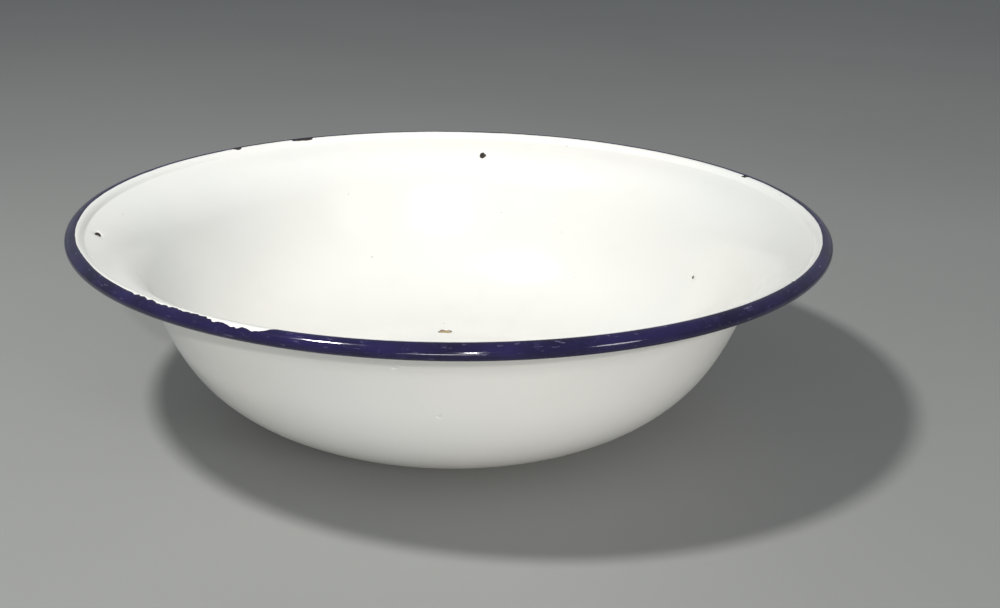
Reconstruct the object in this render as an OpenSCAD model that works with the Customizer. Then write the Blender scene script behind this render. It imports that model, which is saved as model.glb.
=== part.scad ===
// Round bowl of pressed sheet steel, enamelled white, with a blue enamelled rolled rim.
// One strip outline is walked from the middle of the base to the end of the rolled rim,
// and every layer of the bowl is that strip turned about Z at its own depth.
// The origin is under the middle of the base, with +Z up.

/* [Bowl] */
// Outside diameter over the rolled rim
rim_d = 320; // [300:5:360]
// Overall height from the table to the top of the rim
bowl_h = 85; // [82:1:100]
// Inside radius of the round corner between base and wall
corner_r = 64; // [58:1:66]
// Slope of the wall where the corner ends, from horizontal
corner_slope = 61; // [58:1:64]
// Radius of the gentler curve above the corner
wall_r = 100; // [90:1:110]
// Slope of the straight upper wall, from horizontal
wall_slope = 68; // [66:1:72]

/* [Flange and rim] */
// Radius of the outward bend between wall and flange
flange_bend_r = 34; // [28:1:35]
// Slope of the flange, from horizontal
flange_slope = 24; // [18:1:30]
// Length of the straight part of the flange
flange_len = 6; // [4:0.5:8]
// Radius of the groove where the flange turns up into the rim
groove_r = 1.8; // [1.6:0.1:2.5]
// Slope of the sheet where it leaves the groove, from horizontal
groove_slope = 68; // [60:1:72]
// Radius of the rolled rim over its top
roll_top_r = 3.3; // [3.2:0.1:4]
// Radius of the rolled rim round its outer side
roll_side_r = 1.9; // [1.8:0.1:2.2]
// Radius of the rolled rim along its underside
roll_under_r = 3.0; // [2.8:0.1:3.2]

/* [Layers] */
// Thickness of the steel sheet
steel_t = 0.8; // [0.6:0.05:0.9]
// Thickness of the dark ground coat on each side of the steel
ground_t = 0.12; // [0.08:0.01:0.15]
// Thickness of the white or blue cover coat
cover_t = 0.2; // [0.15:0.01:0.25]
// How far the blue band reaches over the top of the rim, in degrees past its crest
blue_overlap = 12; // [0:1:25]

/* [Hidden] */
$fn = 180;

// Angle between neighbouring points on an arc of the outline
arc_step = 6;
// Turns of the rolled rim: over the top down to steep, round the side, and back underneath
side_start = -50;
under_start = -165;
roll_end = -200;

// Depths measured from the middle of the steel, positive towards the food side
steel_face = steel_t / 2;
ground_face = steel_face + ground_t;
cover_face = ground_face + cover_t;

// Each step of the outline is [radius, slope where it ends]; a step whose third entry is a
// length is straight
corner = [corner_r, corner_slope, 0];
upper_curve = [wall_r, wall_slope, 0];
flange_bend = [flange_bend_r, flange_slope, 0];
flange = [0, flange_slope, flange_len];
groove = [groove_r, groove_slope, 0];
roll_to_crest = [roll_top_r, blue_overlap, 0];
roll_over = [roll_top_r, side_start, 0];
roll_side = [roll_side_r, under_start, 0];
roll_under = [roll_under_r, roll_end, 0];

// Width and height that a step covers when it starts at slope a
function step_reach(s, a) =
    s[2] > 0 ? s[2] * [cos(s[1]), sin(s[1])]
             : s[0] * sign(s[1] - a) * [sin(s[1]) - sin(a), cos(a) - cos(s[1])];

// Lengths that bring the outline to the stated height and rim diameter
bend_rise = step_reach(corner, 0)[1] + step_reach(upper_curve, corner_slope)[1]
          + step_reach(flange_bend, wall_slope)[1] + step_reach(flange, flange_slope)[1]
          + step_reach(groove, flange_slope)[1] + roll_top_r * (1 - cos(groove_slope));
wall_len = (bowl_h - 2 * cover_face - bend_rise) / sin(wall_slope);
wall = [0, wall_slope, wall_len];
side_bulge = roll_side_r + (roll_top_r - roll_side_r) * sin(-side_start);
bend_run = step_reach(corner, 0)[0] + step_reach(upper_curve, corner_slope)[0]
         + step_reach(wall, wall_slope)[0] + step_reach(flange_bend, wall_slope)[0]
         + step_reach(flange, flange_slope)[0] + step_reach(groove, flange_slope)[0]
         + roll_top_r * sin(groove_slope) + side_bulge;
base_r = rim_d / 2 - cover_face - bend_run;
base = [0, 0, base_r];

wall_steps = [base, corner, upper_curve, wall, flange_bend, flange, groove];
white_steps = concat(wall_steps, [roll_to_crest]);
blue_steps = [roll_over, roll_side, roll_under];
all_steps = concat(white_steps, blue_steps);

// Points [x, z, slope] along one step from point p, without p itself
function step_points(p, s) =
    s[2] > 0
        ? [[p[0] + s[2] * cos(s[1]), p[1] + s[2] * sin(s[1]), s[1]]]
        : let (count = ceil(abs(s[1] - p[2]) / arc_step), turn = (s[1] - p[2]) / count)
          [for (i = [1 : count])
              let (a = p[2] + turn * i, move = step_reach([s[0], a, 0], p[2]))
              [p[0] + move[0], p[1] + move[1], a]];

// Points along all steps from number i on, starting at point p
function walk(p, steps, i = 0) =
    i == len(steps)
        ? [p]
        : let (more = step_points(p, steps[i]))
          concat([p], [for (k = [0 : 1 : len(more) - 2]) more[k]],
                 walk(more[len(more) - 1], steps, i + 1));

// The outline moved by depth d towards the food side
function at_depth(line, d) = [for (p = line) [p[0] - d * sin(p[2]), p[1] + d * cos(p[2])]];
function reversed(line) = [for (i = [len(line) - 1 : -1 : 0]) line[i]];

start = [0, cover_face, 0];
whole_line = walk(start, all_steps);
wall_line = walk(start, wall_steps);
white_line = walk(start, white_steps);
blue_line = walk(white_line[len(white_line) - 1], blue_steps);

// A layer between two depths, turned about Z
module layer(line, low, high) {
    rotate_extrude()
        polygon(concat(at_depth(line, low), reversed(at_depth(line, high))));
}

// The pressed steel sheet with its edge rolled outwards and under
module steel_shell() {
    color("dimgray") layer(whole_line, -steel_face, steel_face);
}

// Thin dark enamel fused to the food side of the steel and round the outside of the roll
module ground_coat_inside() {
    color("midnightblue") layer(whole_line, steel_face, ground_face);
}

// Thin dark enamel on the underside of the steel and inside the roll
module ground_coat_outside() {
    color("midnightblue") layer(whole_line, -ground_face, -steel_face);
}

// White cover enamel of the food side, up to the crest of the rim
module white_enamel_inside() {
    color("ivory") layer(white_line, ground_face, cover_face);
}

// White cover enamel of the outside, from the base to the groove under the rim
module white_enamel_outside() {
    color("whitesmoke") layer(wall_line, -cover_face, -ground_face);
}

// Blue cover enamel round the rolled rim
module blue_rim_enamel() {
    color("darkslateblue") layer(blue_line, ground_face, cover_face);
}

steel_shell();
ground_coat_inside();
ground_coat_outside();
white_enamel_inside();
white_enamel_outside();
blue_rim_enamel();
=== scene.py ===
# Round steel bowl, enamelled white with a dark blue rolled rim.
# Every layer is lathed from one outline, which is walked from the middle of the base to the
# end of the rolled rim, as the CAD frame's is. Chips are cut through the layers.
import math

import bmesh
import bpy
from mathutils import Matrix, Vector, noise


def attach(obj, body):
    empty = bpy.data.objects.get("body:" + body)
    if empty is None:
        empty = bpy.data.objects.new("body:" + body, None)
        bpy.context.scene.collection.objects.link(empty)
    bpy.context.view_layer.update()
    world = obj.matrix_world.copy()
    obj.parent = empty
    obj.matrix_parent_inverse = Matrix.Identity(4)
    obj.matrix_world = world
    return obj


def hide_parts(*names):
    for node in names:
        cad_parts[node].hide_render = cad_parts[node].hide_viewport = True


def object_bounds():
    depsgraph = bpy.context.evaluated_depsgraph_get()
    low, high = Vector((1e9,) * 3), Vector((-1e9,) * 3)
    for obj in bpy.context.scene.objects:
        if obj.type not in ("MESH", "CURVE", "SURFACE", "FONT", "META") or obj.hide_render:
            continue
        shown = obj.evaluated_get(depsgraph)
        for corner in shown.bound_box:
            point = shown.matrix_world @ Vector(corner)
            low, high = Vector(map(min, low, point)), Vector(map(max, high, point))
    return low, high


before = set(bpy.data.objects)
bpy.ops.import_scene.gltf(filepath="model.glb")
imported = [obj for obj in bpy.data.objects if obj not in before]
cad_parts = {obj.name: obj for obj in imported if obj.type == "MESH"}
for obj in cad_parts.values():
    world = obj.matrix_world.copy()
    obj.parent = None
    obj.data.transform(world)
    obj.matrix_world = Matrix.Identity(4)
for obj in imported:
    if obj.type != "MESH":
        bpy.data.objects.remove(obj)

MM = 0.001
cad_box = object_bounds()
BODY = "root"

# ---------------------------------------------------------------- sizes
# Depths are measured from the middle of the steel, positive towards the food side
RIM_R = (cad_box[1][0] - cad_box[0][0]) / 2
BOWL_H = cad_box[1][2] - cad_box[0][2]
STEEL_FACE = 0.40 * MM
GROUND_FACE = 0.52 * MM
COVER_FACE = 0.72 * MM

# Radii and lengths along the outline, with slopes in degrees from level
CORNER_R, CORNER_SLOPE = 64 * MM, 61
UPPER_R, WALL_SLOPE = 100 * MM, 68
BEND_R, FLANGE_SLOPE, FLANGE_LEN = 34 * MM, 24, 6 * MM
GROOVE_R, GROOVE_SLOPE = 1.8 * MM, 68
ROLL_TOP_R, BLUE_OVERLAP, SIDE_START = 3.3 * MM, 12, -50
ROLL_SIDE_R, UNDER_START = 1.9 * MM, -165
ROLL_UNDER_R, ROLL_END = 3.0 * MM, -200


# ---------------------------------------------------------------- outline
# Parts that a straight step is split into, and degrees between points on an arc
STRAIGHT_PARTS, ARC_STEP = 8, 0.5


def arc_reach(radius, begin, end):
    """Width and height that an arc covers between two slopes in degrees."""
    a, b = math.radians(begin), math.radians(end)
    side = 1 if end > begin else -1
    return radius * side * (math.sin(b) - math.sin(a)), radius * side * (math.cos(a) - math.cos(b))


def line_reach(length, slope):
    """Width and height that a straight step covers."""
    return length * math.cos(math.radians(slope)), length * math.sin(math.radians(slope))


def fitted_lengths():
    """Base radius and straight wall length that give the frame's rim radius and height."""
    arcs = [arc_reach(CORNER_R, 0, CORNER_SLOPE), arc_reach(UPPER_R, CORNER_SLOPE, WALL_SLOPE),
            arc_reach(BEND_R, WALL_SLOPE, FLANGE_SLOPE), line_reach(FLANGE_LEN, FLANGE_SLOPE),
            arc_reach(GROOVE_R, FLANGE_SLOPE, GROOVE_SLOPE)]
    rise = sum(a[1] for a in arcs) + arc_reach(ROLL_TOP_R, GROOVE_SLOPE, 0)[1]
    wall = (BOWL_H - 2 * COVER_FACE - rise) / math.sin(math.radians(WALL_SLOPE))
    bulge = ROLL_SIDE_R + (ROLL_TOP_R - ROLL_SIDE_R) * math.sin(math.radians(-SIDE_START))
    run = sum(a[0] for a in arcs) + line_reach(wall, WALL_SLOPE)[0] + bulge
    run += arc_reach(ROLL_TOP_R, GROOVE_SLOPE, 0)[0]
    return RIM_R - COVER_FACE - run, wall


class Outline:
    """Dense points along the middle of the steel, with the distance walked to each."""

    def __init__(self):
        self.points = [(0.0, COVER_FACE, 0.0)]
        self.walked = [0.0]
        self.marks = {}
        base, wall = fitted_lengths()
        self.straight("base", base)
        self.arc("corner", CORNER_R, CORNER_SLOPE)
        self.arc("upper", UPPER_R, WALL_SLOPE)
        self.straight("wall", wall)
        self.arc("bend", BEND_R, FLANGE_SLOPE)
        self.straight("flange", FLANGE_LEN)
        self.arc("groove", GROOVE_R, GROOVE_SLOPE)
        self.arc("white", ROLL_TOP_R, BLUE_OVERLAP)
        self.arc("top", ROLL_TOP_R, SIDE_START)
        self.arc("side", ROLL_SIDE_R, UNDER_START)
        self.arc("under", ROLL_UNDER_R, ROLL_END)

    def add(self, dx, dz, slope, length):
        x, z, _ = self.points[-1]
        self.points.append((x + dx, z + dz, slope))
        self.walked.append(self.walked[-1] + length)

    def straight(self, name, length):
        slope = self.points[-1][2]
        dx, dz = line_reach(length / STRAIGHT_PARTS, slope)
        for _ in range(STRAIGHT_PARTS):
            self.add(dx, dz, slope, length / STRAIGHT_PARTS)
        self.marks[name] = self.walked[-1]

    def arc(self, name, radius, end):
        begin = self.points[-1][2]
        count = max(2, math.ceil(abs(end - begin) / ARC_STEP))
        turn = (end - begin) / count
        for i in range(count):
            dx, dz = arc_reach(radius, begin + turn * i, begin + turn * (i + 1))
            self.add(dx, dz, begin + turn * (i + 1), radius * math.radians(abs(turn)))
        self.marks[name] = self.walked[-1]

    def at(self, s):
        """(x, z, slope) at distance s along the outline."""
        low, high = 0, len(self.walked) - 1
        while high - low > 1:
            mid = (low + high) // 2
            if self.walked[mid] <= s:
                low = mid
            else:
                high = mid
        span = self.walked[high] - self.walked[low]
        t = (s - self.walked[low]) / span
        a, b = self.points[low], self.points[high]
        return tuple(a[i] + (b[i] - a[i]) * t for i in range(3))


outline = Outline()
S_CREST = outline.marks["white"]
S_END = outline.marks["under"]


# ---------------------------------------------------------------- surface with its unevenness
# Dents: height, radius of the circle walked through the noise, length up the outline, and the
# distance over which they grow from nothing
DENT_DEPTH, DENTS_ROUND, DENT_LENGTH, DENT_FADE = 0.28 * MM, 1.3, 70 * MM, 40 * MM
# Share of the radius, lobes round the bowl, and where the first lobe starts in radians
LOBES = [(0.0006, 2, 0.7), (0.0003, 3, 2.1)]


def smooth(t):
    """A step from 0 to 1 with soft ends."""
    t = min(max(t, 0.0), 1.0)
    return t * t * (3 - 2 * t)


def unevenness(azimuth, s):
    """How far the pressing is off its true shape: slow waves that fade to nothing at the base."""
    fade = smooth((s - outline.marks["base"]) / DENT_FADE)
    p = Vector((math.sin(azimuth) * DENTS_ROUND, math.cos(azimuth) * DENTS_ROUND, s / DENT_LENGTH))
    return fade * DENT_DEPTH * noise.noise(p)


def out_of_round(azimuth):
    """Factor on the radius."""
    return 1 + sum(share * math.cos(count * azimuth + start) for share, count, start in LOBES)


def place(azimuth, s, depth):
    """Point at an azimuth (0 towards the front, turning to the right), distance and depth."""
    x, z, slope = outline.at(s)
    a = math.radians(slope)
    d = depth + unevenness(azimuth, s)
    r = (x - d * math.sin(a)) * out_of_round(azimuth)
    return Vector((r * math.sin(azimuth), -r * math.cos(azimuth), z + d * math.cos(a)))


def surface_axes(azimuth, s):
    """Directions round the bowl, up the outline, and out of the food side."""
    slope = math.radians(outline.at(s)[2])
    round_dir = Vector((math.cos(azimuth), math.sin(azimuth), 0))
    out = Vector((math.sin(azimuth), -math.cos(azimuth), 0))
    up_dir = out * math.cos(slope) + Vector((0, 0, math.sin(slope)))
    normal = -out * math.sin(slope) + Vector((0, 0, math.cos(slope)))
    return round_dir, up_dir, normal


# ---------------------------------------------------------------- lathed layers
# Points round a ring; each count is twice the one before, so neighbouring rings join up
COARSE, MIDDLE, FINE, FINEST = 240, 480, 960, 1920
# Spacing of the rings, the largest turn between them, and the turn allowed on tight bends
LONG_STEP, SHORT_STEP, STEP_SHRINK = 3.0 * MM, 0.6 * MM, 0.8
RING_TURN, TIGHT_TURN = 3.2, 9
# What is left over is joined to the last step when it is a smaller share of it than this
SHORTEST_LAST = 0.25


def add_ring(bm, count, position):
    return [bm.verts.new(position(2 * math.pi * i / count)) for i in range(count)]


def join_rings(bm, a, b):
    """Faces between two rings of the same count, or where one has twice the other's."""
    if len(a) == 1 or len(b) == 1:
        tip, ring = (a[0], b) if len(a) == 1 else (b[0], a)
        for i in range(len(ring)):
            pair = (ring[i], ring[(i + 1) % len(ring)])
            bm.faces.new((tip, pair[1], pair[0]) if len(a) == 1 else (tip, pair[0], pair[1]))
    elif len(a) == len(b):
        n = len(a)
        for i in range(n):
            bm.faces.new((a[i], b[i], b[(i + 1) % n], a[(i + 1) % n]))
    elif len(b) == 2 * len(a):
        n = len(a)
        for i in range(n):
            j = (i + 1) % n
            bm.faces.new((a[i], b[2 * i + 1], b[(2 * i + 2) % (2 * n)], a[j]))
            bm.faces.new((a[i], b[2 * i], b[2 * i + 1]))
    else:
        n = len(b)
        for i in range(n):
            j = (i + 1) % n
            bm.faces.new((a[2 * i], b[i], a[2 * i + 1]))
            bm.faces.new((a[2 * i + 1], b[i], b[j], a[(2 * i + 2) % (2 * n)]))


def lathe(name, rows):
    """A closed layer from rows (distance, depth, points round, shift at each azimuth)."""
    bm = bmesh.new()
    rings = []
    for s, depth, count, shift in rows:
        if s <= 0:
            rings.append([bm.verts.new(place(0.0, 0.0, depth))])
        else:
            rings.append(add_ring(bm, count, lambda a: place(a, s + shift(a), depth)))
    for a, b in zip(rings, rings[1:]):
        join_rings(bm, a, b)
    if len(rings[0]) > 1:
        join_rings(bm, rings[-1], rings[0])
    bmesh.ops.recalc_face_normals(bm, faces=bm.faces)
    mesh = bpy.data.meshes.new(name)
    bm.to_mesh(mesh)
    bm.free()
    obj = bpy.data.objects.new(name, mesh)
    bpy.context.scene.collection.objects.link(obj)
    return obj


def still(azimuth):
    """The shift of a ring that stays level."""
    return 0.0


def stations(begin, end):
    """Distances along the outline, close together where it turns sharply."""
    out = [begin]
    s = begin
    while s < end:
        slope = outline.at(s)[2]
        step = LONG_STEP
        while (abs(outline.at(min(s + step, end))[2] - slope)
               > (RING_TURN if step > SHORT_STEP else TIGHT_TURN)):
            step *= STEP_SHRINK
        s = min(s + step, end)
        if end - s < SHORTEST_LAST * step:
            s = end
        out.append(s)
    return out


# ---------------------------------------------------------------- edge between white and blue
# Waves of the edge: height in mm, waves round the bowl, seed
EDGE_WAVES = [(0.22, 26, 3.1), (0.10, 160, 7.7)]
RAGGED_WAVES = [(0.55, 150, 1.3), (0.80, 560, 5.9)]
TONGUE_WAVES = (0.6, 260, 4.4)
# Stretches of the edge: begin, end, rise and fall in degrees of azimuth
LOW_STRETCH = (-58, -22.5, 16.0, 3.0)
RAGGED_STRETCH = (-45, -22.5, 3.0, 3.0)
TONGUE_STRETCH = (-30.0, -22.0, 5.0, 1.2)
LOW_BY, TONGUE_BY, TONGUE_MEAN = 1.0 * MM, 1.5 * MM, 0.9


def plateau(azimuth, begin, end, rise, fall):
    """1 between two azimuths in degrees, with ends that take rise and fall degrees."""
    off = (math.degrees(azimuth) - begin + 180) % 360 - 180
    return smooth(off / rise + 0.5) * smooth((end - begin - off) / fall + 0.5)


def ring_noise(azimuth, per_turn, seed):
    """Noise that closes on itself after one turn."""
    radius = per_turn / (2 * math.pi)
    return noise.noise(Vector((radius * math.sin(azimuth), radius * math.cos(azimuth), seed)))


def edge_shift(azimuth):
    """How far the blue band's edge is off its nominal line, away from the axis."""
    shift = sum(h * MM * ring_noise(azimuth, count, seed) for h, count, seed in EDGE_WAVES)
    shift += LOW_BY * plateau(azimuth, *LOW_STRETCH)
    ragged = sum(h * ring_noise(azimuth, count, seed) for h, count, seed in RAGGED_WAVES)
    shift += plateau(azimuth, *RAGGED_STRETCH) * ragged * MM
    height, count, seed = TONGUE_WAVES
    tongue = TONGUE_MEAN + height * ring_noise(azimuth, count, seed)
    shift += TONGUE_BY * plateau(azimuth, *TONGUE_STRETCH) * tongue
    return shift


# Rings beside the edge: distance from it in mm, how much of its shift they follow, points
EDGE_ROWS = [(0.0, 1.0, FINEST), (0.4, 1.0, FINEST), (1.0, 0.85, FINEST), (1.9, 0.5, FINEST),
             (2.9, 0.2, FINE), (3.9, 0.0, FINE)]
# Numbers of the rings off the edge itself
BESIDE = range(1, len(EDGE_ROWS))
# Distances from the edge where the level rings take over, on the white and the blue side
WHITE_LEVEL, WHITE_COARSE, BLUE_LEVEL = 4.2 * MM, 4.6 * MM, 4.4 * MM
# How far each enamel is lowered at the edge, and how far the blue is raised beside it
WHITE_DROP, BLUE_DROP, BLUE_BEAD = 0.07 * MM, 0.05 * MM, 0.03 * MM


def edge_row(index, side, depth):
    """A ring beside the edge, on the white side (-1) or the blue side (1)."""
    back, weight, count = EDGE_ROWS[index]
    return (S_CREST + side * back * MM, depth, count, lambda a: weight * edge_shift(a))


def white_inside():
    inner = stations(0, S_CREST - WHITE_COARSE)
    face = [(s, COVER_FACE, COARSE, still) for s in inner]
    face.append((S_CREST - WHITE_LEVEL, COVER_FACE, MIDDLE, still))
    face += [edge_row(i, -1, COVER_FACE) for i in reversed(BESIDE)]
    face.append(edge_row(0, -1, COVER_FACE - WHITE_DROP))
    back = [edge_row(0, -1, GROUND_FACE)]
    back += [edge_row(i, -1, GROUND_FACE) for i in BESIDE]
    back.append((S_CREST - WHITE_LEVEL, GROUND_FACE, MIDDLE, still))
    back += [(s, GROUND_FACE, COARSE, still) for s in reversed(inner)]
    return lathe("white_inside", face + back)


def blue_band():
    outer = stations(S_CREST + BLUE_LEVEL, S_END)
    face = [edge_row(0, 1, COVER_FACE - BLUE_DROP)]
    face += [edge_row(i, 1, COVER_FACE + BLUE_BEAD) for i in BESIDE]
    face += [(s, COVER_FACE, MIDDLE, still) for s in outer]
    back = [(s, GROUND_FACE, MIDDLE, still) for s in reversed(outer)]
    back += [edge_row(i, 1, GROUND_FACE) for i in reversed(BESIDE)]
    back.append(edge_row(0, 1, GROUND_FACE))
    return lathe("blue_band", face + back)


def plain_layer(name, low, high, end):
    """A layer between two depths, from the middle of the base to a distance along the outline."""
    path = stations(0, end)
    face = [(s, high, COARSE, still) for s in path]
    back = [(s, low, COARSE, still) for s in reversed(path)]
    return lathe(name, face + back)


# ---------------------------------------------------------------- chips
# Azimuth in degrees, distance along the outline in mm, half width round the bowl, half width
# along the outline, depth of the deepest point, seed
CHIPS_INSIDE = [
    (173.5, 178.2, 1.9, 2.7, 0.62, 1),
    (-80.0, 185.7, 2.9, 1.8, 0.60, 3),
    (-177.0, 69.8, 3.9, 1.9, 0.80, 5),
    (109.5, 138.3, 1.6, 2.2, 0.235, 7),
    (146.0, 116.7, 1.8, 1.1, 0.19, 8),
    (154.8, 147.1, 0.7, 0.7, 0.18, 9),
    (152.3, 139.3, 0.8, 0.7, 0.18, 10),
]
# The same, with the distance measured from the edge of the blue band
CHIPS_BY_EDGE = [
    (-149.4, -0.5, 6.8, 2.6, 0.55, 11),
    (-135.2, -0.3, 3.0, 1.6, 0.50, 12),
    (115.0, -0.3, 2.4, 1.9, 0.60, 13),
    (54.0, -0.2, 1.8, 0.9, 0.40, 14),
    (9.0, 0.4, 2.2, 0.7, 0.34, 21),
]
CHIPS_RIM = [(azimuth, S_CREST / MM + off, *rest) for azimuth, off, *rest in CHIPS_BY_EDGE]
# Shallow marks of the outer wall
CHIPS_OUTSIDE = [
    (-8.5, 165.1, 1.2, 0.7, 0.215, 31),
    (-2.2, 141.1, 1.1, 0.6, 0.21, 32),
    (-4.8, 136.5, 0.8, 0.6, 0.21, 33),
]
# A cutter's half height as a multiple of the chip's depth, and how much wider it is than the
# chip, whose width is measured at the surface
CUTTER_TALL, CUTTER_WIDE = 3.2, 1.3
# Lumps of a cutter: height, scale, and how far a seed of 1 moves the noise along x and y
LUMPS = [(0.75, 1.2, 3.7, 0), (0.30, 3.2, 0, 2.3)]
# Edges that turn by more than this many degrees stay sharp
SHARP_ANGLE = 35


def add_chip(bm, chip, face_depth, side):
    """A flattened, lumpy ball that dips into the surface to the chip's depth."""
    azimuth, s, half_round, half_up, depth, seed = chip
    azimuth, s, depth = math.radians(azimuth), s * MM, depth * MM
    round_dir, up_dir, normal = surface_axes(azimuth, s)
    normal = normal * side
    tall = CUTTER_TALL * depth
    centre = place(azimuth, s, face_depth * side) + normal * (tall - depth)
    made = bmesh.ops.create_icosphere(bm, subdivisions=3, radius=1.0)
    for v in made["verts"]:
        p = v.co.copy()
        lump = 1 + sum(h * noise.noise(p * scale + Vector((seed * x, seed * y, 0)))
                       for h, scale, x, y in LUMPS)
        v.co = (centre + round_dir * (p.x * half_round * MM * CUTTER_WIDE * lump)
                + up_dir * (p.y * half_up * MM * CUTTER_WIDE * lump) + normal * (p.z * tall))


def cut_chips(piece, chips, face_depth, side):
    """Cuts every chip out of a piece with one exact boolean."""
    bm = bmesh.new()
    for chip in chips:
        add_chip(bm, chip, face_depth, side)
    bmesh.ops.recalc_face_normals(bm, faces=bm.faces)
    mesh = bpy.data.meshes.new("cutters")
    bm.to_mesh(mesh)
    bm.free()
    cutter = bpy.data.objects.new("cutters", mesh)
    bpy.context.scene.collection.objects.link(cutter)
    modifier = piece.modifiers.new("chips", "BOOLEAN")
    modifier.object = cutter
    modifier.operation = "DIFFERENCE"
    modifier.solver = "EXACT"
    bpy.context.view_layer.update()
    graph = bpy.context.evaluated_depsgraph_get()
    cut = bpy.data.meshes.new_from_object(piece.evaluated_get(graph))
    piece.modifiers.clear()
    old = piece.data
    piece.data = cut
    bpy.data.meshes.remove(old)
    bpy.data.objects.remove(cutter)
    bpy.data.meshes.remove(mesh)


def finish_surface(piece):
    """Smooth shading with the real edges kept sharp."""
    for face in piece.data.polygons:
        face.use_smooth = True
    piece.data.set_sharp_from_angle(angle=math.radians(SHARP_ANGLE))


# ---------------------------------------------------------------- node helpers
class Graph:
    """Short calls for building one material's nodes."""

    def __init__(self, name):
        self.material = bpy.data.materials.new(name)
        self.material.use_nodes = True
        self.tree = self.material.node_tree
        self.shader = self.tree.nodes["Principled BSDF"]
        self.coords = self.tree.nodes.new("ShaderNodeTexCoord").outputs["Object"]

    def set(self, **values):
        for key, value in values.items():
            self.shader.inputs[key.replace("_", " ")].default_value = value

    def link(self, output, socket_name):
        self.tree.links.new(output, self.shader.inputs[socket_name])

    def scaled(self, x, y, z):
        node = self.tree.nodes.new("ShaderNodeMapping")
        node.inputs["Scale"].default_value = (x, y, z)
        self.tree.links.new(self.coords, node.inputs["Vector"])
        return node.outputs["Vector"]

    def noise(self, scale, detail=3.0, rough=0.5, vector=None):
        node = self.tree.nodes.new("ShaderNodeTexNoise")
        node.inputs["Scale"].default_value = scale
        node.inputs["Detail"].default_value = detail
        node.inputs["Roughness"].default_value = rough
        self.tree.links.new(vector or self.coords, node.inputs["Vector"])
        return node.outputs["Fac"]

    def cells(self, scale):
        """Distance from the nearest of many scattered points."""
        node = self.tree.nodes.new("ShaderNodeTexVoronoi")
        node.inputs["Scale"].default_value = scale
        self.tree.links.new(self.coords, node.inputs["Vector"])
        return node.outputs["Distance"]

    def span(self, value, low, high, to_low=0.0, to_high=1.0):
        """The value moved from one range to another, and held at its ends."""
        node = self.tree.nodes.new("ShaderNodeMapRange")
        node.inputs["From Min"].default_value = low
        node.inputs["From Max"].default_value = high
        node.inputs["To Min"].default_value = to_low
        node.inputs["To Max"].default_value = to_high
        self.tree.links.new(value, node.inputs["Value"])
        return node.outputs["Result"]

    def product(self, a, b):
        node = self.tree.nodes.new("ShaderNodeMath")
        node.operation = "MULTIPLY"
        for socket, value in zip(node.inputs, (a, b)):
            if isinstance(value, (int, float)):
                socket.default_value = value
            else:
                self.tree.links.new(value, socket)
        return node.outputs[0]

    def mix(self, factor, a, b):
        node = self.tree.nodes.new("ShaderNodeMix")
        node.data_type = "RGBA"
        for key, value in (("Factor_Float", factor), ("A_Color", a), ("B_Color", b)):
            socket = next(i for i in node.inputs if i.identifier == key)
            if isinstance(value, bpy.types.NodeSocket):
                self.tree.links.new(value, socket)
            else:
                socket.default_value = value if key == "Factor_Float" else (*value, 1)
        return next(o for o in node.outputs if o.identifier == "Result_Color")

    def bump(self, height, distance, under=None):
        node = self.tree.nodes.new("ShaderNodeBump")
        node.inputs["Strength"].default_value = 1.0
        node.inputs["Distance"].default_value = distance
        self.tree.links.new(height, node.inputs["Height"])
        if under is not None:
            self.tree.links.new(under, node.inputs["Normal"])
        return node.outputs["Normal"]

    def height_of(self):
        node = self.tree.nodes.new("ShaderNodeSeparateXYZ")
        self.tree.links.new(self.coords, node.inputs["Vector"])
        return node.outputs["Z"]


# Colours in linear light
WHITE_COOL, WHITE_WARM, WHITE_CLOUD = (0.745, 0.76, 0.74), (0.78, 0.775, 0.74), (0.70, 0.69, 0.65)
# The first colour of the next pair darkens the enamel and turns it browner towards the base
BASE_TINT, SPECK = (0.46, 0.40, 0.32), (0.12, 0.09, 0.07)
BLUE_DARK, BLUE_BRIGHT = (0.008, 0.007, 0.028), (0.017, 0.013, 0.067)
# The second colour of the next pair is pale lavender, partly scuffs and partly a painted sheen
BLUE_THIN, BLUE_SCUFF_AND_SHEEN = (0.034, 0.030, 0.096), (0.17, 0.16, 0.26)
COAT_DARK, COAT_PALE = (0.012, 0.012, 0.018), (0.05, 0.045, 0.05)
RUST_DARK, RUST_PALE = (0.32, 0.23, 0.12), (0.50, 0.40, 0.24)
BURNT_DARK, BURNT_PALE = (0.015, 0.012, 0.010), (0.07, 0.05, 0.035)
FLOOR_DARK, FLOOR_PALE = (0.260, 0.267, 0.262), (0.280, 0.287, 0.282)
# Roughness of the glossiest and the dullest spots
WHITE_ROUGH, BLUE_ROUGH = (0.17, 0.262), (0.05, 0.14)
COAT_ROUGH, STEEL_ROUGH, FLOOR_ROUGH = (0.25, 0.5), (0.55, 0.9), 0.65
WHITE_IOR, BLUE_IOR, STEEL_METALLIC = 1.52, 1.44, 0.2
# Heights in metres of the enamels' orange peel and slow waves, and of the other grain
WHITE_SKIN, BLUE_SKIN = (0.000008, 0.0004), (0.00002, 0.0003)
COAT_GRAIN, STEEL_GRAIN = 0.00005, 0.00012
# Height where the darker, browner tint towards the base has faded out, and how strong it is at the
# base
BASE_TINT_TOP, BASE_TINT_INSIDE, BASE_TINT_OUTSIDE = 0.022, 0.15, 0.45
# Heights between which bare steel turns from rusty to burnt dark
BURNT_FROM, BURNT_TO = 0.055, 0.070


def enamel_skin(g, peel, wave):
    """Fine orange peel over slow waves, in metres of height."""
    slow = g.bump(g.noise(22, 2), wave)
    fine = g.bump(g.noise(420, 2), peel, under=slow)
    g.link(fine, "Normal")


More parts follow.
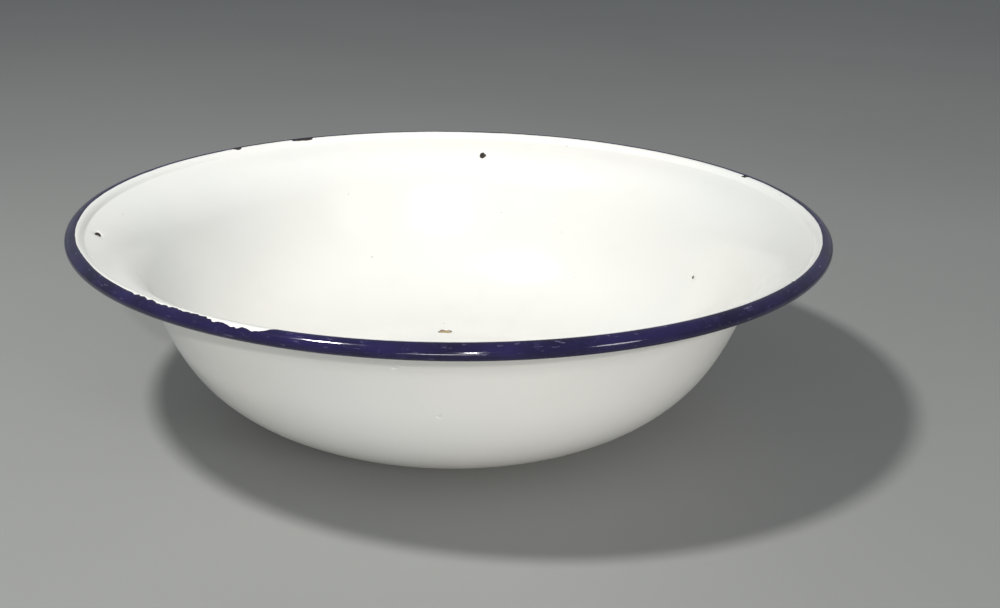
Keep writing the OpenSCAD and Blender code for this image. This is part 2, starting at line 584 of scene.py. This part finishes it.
def white_enamel(name, tint_at_base):
    g = Graph(name)
    tone = g.mix(g.span(g.noise(9, 3), 0.35, 0.65), WHITE_COOL, WHITE_WARM)
    cloud = g.mix(g.span(g.noise(55, 4, 0.6), 0.55, 0.8, 0.0, 0.25), tone, WHITE_CLOUD)
    # Darker and browner towards the base, more strongly on the outside
    low_down = g.span(g.height_of(), 0.0, BASE_TINT_TOP, tint_at_base, 0.0)
    tinted = g.mix(g.product(low_down, g.noise(70, 5, 0.65)), cloud, BASE_TINT)
    speck_size = g.span(g.cells(210), 0.05, 0.09, 1.0, 0.0)
    speck_pick = g.span(g.noise(160, 1), 0.66, 0.70)
    specks = g.product(speck_size, speck_pick)
    g.link(g.mix(g.product(specks, 0.7), tinted, SPECK), "Base Color")
    rubbed = g.noise(24, 3, 0.55, g.scaled(1, 1, 2.5))
    g.link(g.span(rubbed, 0.3, 0.7, *WHITE_ROUGH), "Roughness")
    g.set(IOR=WHITE_IOR)
    enamel_skin(g, *WHITE_SKIN)
    return g.material


def blue_enamel():
    g = Graph("blue_enamel")
    tone = g.mix(g.span(g.noise(38, 4, 0.6), 0.35, 0.7), BLUE_DARK, BLUE_BRIGHT)
    thin = g.mix(g.span(g.noise(240, 4, 0.6), 0.58, 0.75, 0.0, 0.5), tone, BLUE_THIN)
    # Pale lavender streaks: partly scuffs, partly a painted sheen for the lavender reflections
    # along the band
    scuff_and_sheen = g.span(g.noise(230, 4, 0.65, g.scaled(1, 1, 5)), 0.62, 0.70, 0.0, 0.45)
    g.link(g.mix(scuff_and_sheen, thin, BLUE_SCUFF_AND_SHEEN), "Base Color")
    rubbed = g.noise(60, 5, 0.7)
    g.link(g.span(rubbed, 0.35, 0.75, *BLUE_ROUGH), "Roughness")
    g.set(IOR=BLUE_IOR)
    enamel_skin(g, *BLUE_SKIN)
    return g.material


def ground_coat():
    g = Graph("ground_coat")
    g.link(g.mix(g.span(g.noise(300, 4, 0.6), 0.4, 0.7), COAT_DARK, COAT_PALE), "Base Color")
    g.link(g.span(g.noise(500, 3), 0.3, 0.7, *COAT_ROUGH), "Roughness")
    g.link(g.bump(g.noise(900, 3), COAT_GRAIN), "Normal")
    return g.material


def chipped_steel():
    g = Graph("chipped_steel")
    rust = g.mix(g.span(g.noise(900, 4, 0.65), 0.35, 0.7), RUST_DARK, RUST_PALE)
    burnt = g.mix(g.span(g.noise(700, 4, 0.65), 0.4, 0.7), BURNT_DARK, BURNT_PALE)
    high_up = g.span(g.height_of(), BURNT_FROM, BURNT_TO)
    g.link(g.mix(high_up, rust, burnt), "Base Color")
    g.link(g.span(g.noise(800, 3), 0.3, 0.7, *STEEL_ROUGH), "Roughness")
    g.link(g.bump(g.noise(1500, 4), STEEL_GRAIN), "Normal")
    g.set(Metallic=STEEL_METALLIC)
    return g.material


# ---------------------------------------------------------------- pieces
def dress(piece, material, node):
    """Gives a piece its material and smooth shading, hangs it under the body, and hides the node
    it replaces.
    """
    piece.data.materials.clear()
    piece.data.materials.append(material)
    finish_surface(piece)
    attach(piece, BODY)
    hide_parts(node)


def build_bowl():
    inside, blue = white_inside(), blue_band()
    outside = plain_layer("white_outside", -COVER_FACE, -GROUND_FACE, outline.marks["groove"])
    ground_in = plain_layer("ground_inside", STEEL_FACE, GROUND_FACE, S_END)
    ground_out = plain_layer("ground_outside", -GROUND_FACE, -STEEL_FACE, S_END)
    steel = plain_layer("steel_sheet", -STEEL_FACE, STEEL_FACE, S_END)
    cut_chips(inside, CHIPS_INSIDE + CHIPS_RIM, COVER_FACE, 1)
    cut_chips(blue, CHIPS_RIM, COVER_FACE, 1)
    cut_chips(ground_in, CHIPS_INSIDE + CHIPS_RIM, COVER_FACE, 1)
    cut_chips(steel, CHIPS_INSIDE + CHIPS_RIM, COVER_FACE, 1)
    cut_chips(outside, CHIPS_OUTSIDE, COVER_FACE, -1)
    white_in = white_enamel("white_enamel_in", BASE_TINT_INSIDE)
    dress(inside, white_in, "white_enamel_inside")
    white_out = white_enamel("white_enamel_out", BASE_TINT_OUTSIDE)
    dress(outside, white_out, "white_enamel_outside")
    dress(blue, blue_enamel(), "blue_rim_enamel")
    coat = ground_coat()
    dress(ground_in, coat, "ground_coat_inside")
    dress(ground_out, coat, "ground_coat_outside")
    dress(steel, chipped_steel(), "steel_shell")


# ---------------------------------------------------------------- stage, lights and camera
FLOOR_HALF = 6.0
SKY_COLOUR, SKY_STRENGTH = (0.90, 0.95, 1.0, 1), 0.27
LAMP_TARGET = Vector((0, 0, 0.05))
NEUTRAL, WARM = (1.0, 0.98, 0.95), (1.0, 0.97, 0.94)
# Name, place from the target, width, height, power in watts, colour
LAMPS = [
    ("key", (-0.42, -0.30, 0.92), 0.12, 0.12, 9.0, NEUTRAL),
    ("front", (0.30, -3.05, 1.45), 0.10, 0.10, 38.0, WARM),
    ("low_front", (-0.19, -4.98, 0.19), 1.90, 0.44, 57.0, WARM),
    ("right", (1.77, -1.77, 0.72), 0.60, 0.60, 12.0, WARM),
]
# Camera: distance from the middle of the rim in rim radii, height angle, and turns in degrees
DISTANCE, RISE, PAN, TILT, ROLL = 3.514, 15.71, 2.10, -4.14, 0.48
LENS, SENSOR, NEAREST = 46.8, 36.0, 0.01


def floor():
    bm = bmesh.new()
    bmesh.ops.create_grid(bm, x_segments=8, y_segments=8, size=FLOOR_HALF)
    mesh = bpy.data.meshes.new("floor")
    bm.to_mesh(mesh)
    bm.free()
    obj = bpy.data.objects.new("floor", mesh)
    bpy.context.scene.collection.objects.link(obj)
    g = Graph("floor")
    g.link(g.mix(g.span(g.noise(3, 3), 0.3, 0.7), FLOOR_DARK, FLOOR_PALE), "Base Color")
    g.set(Roughness=FLOOR_ROUGH)
    obj.data.materials.append(g.material)


def area_light(name, place_from_target, width, height, power, colour):
    offset = Vector(place_from_target)
    data = bpy.data.lights.new(name, "AREA")
    data.shape = "ELLIPSE"
    data.size = width
    data.size_y = height
    data.energy = power
    data.color = colour
    obj = bpy.data.objects.new(name, data)
    obj.location = LAMP_TARGET + offset
    obj.rotation_euler = (-offset).to_track_quat("-Z", "Y").to_euler()
    obj.visible_camera = False
    bpy.context.scene.collection.objects.link(obj)


def lights():
    world = bpy.data.worlds.new("studio")
    world.use_nodes = True
    background = world.node_tree.nodes["Background"]
    background.inputs["Color"].default_value = SKY_COLOUR
    background.inputs["Strength"].default_value = SKY_STRENGTH
    bpy.context.scene.world = world
    for lamp in LAMPS:
        area_light(*lamp)


def turned(a, b, angle):
    """Two axes turned in their own plane, the first towards the second."""
    return a * math.cos(angle) + b * math.sin(angle), b * math.cos(angle) - a * math.sin(angle)


def camera():
    rim_centre = Vector((0, 0, cad_box[1][2]))
    rise, pan, tilt, roll = (math.radians(v) for v in (RISE, PAN, TILT, ROLL))
    offset = Vector((0, -math.cos(rise), math.sin(rise))) * (DISTANCE * RIM_R)
    ahead = -offset.normalized()
    right = Vector((1, 0, 0))
    up = right.cross(ahead)
    ahead, up = turned(ahead, up, tilt)
    ahead, right = turned(ahead, right, pan)
    right, up = turned(right, up, roll)
    data = bpy.data.cameras.new("camera")
    data.lens = LENS
    data.sensor_width = SENSOR
    data.clip_start = NEAREST
    obj = bpy.data.objects.new("camera", data)
    axes = Matrix((right, up, -ahead)).transposed().to_4x4()
    obj.matrix_world = Matrix.Translation(rim_centre + offset) @ axes
    bpy.context.scene.collection.objects.link(obj)
    bpy.context.scene.camera = obj


build_bowl()
floor()
lights()
camera()
bpy.context.scene.view_settings.view_transform = "Standard"
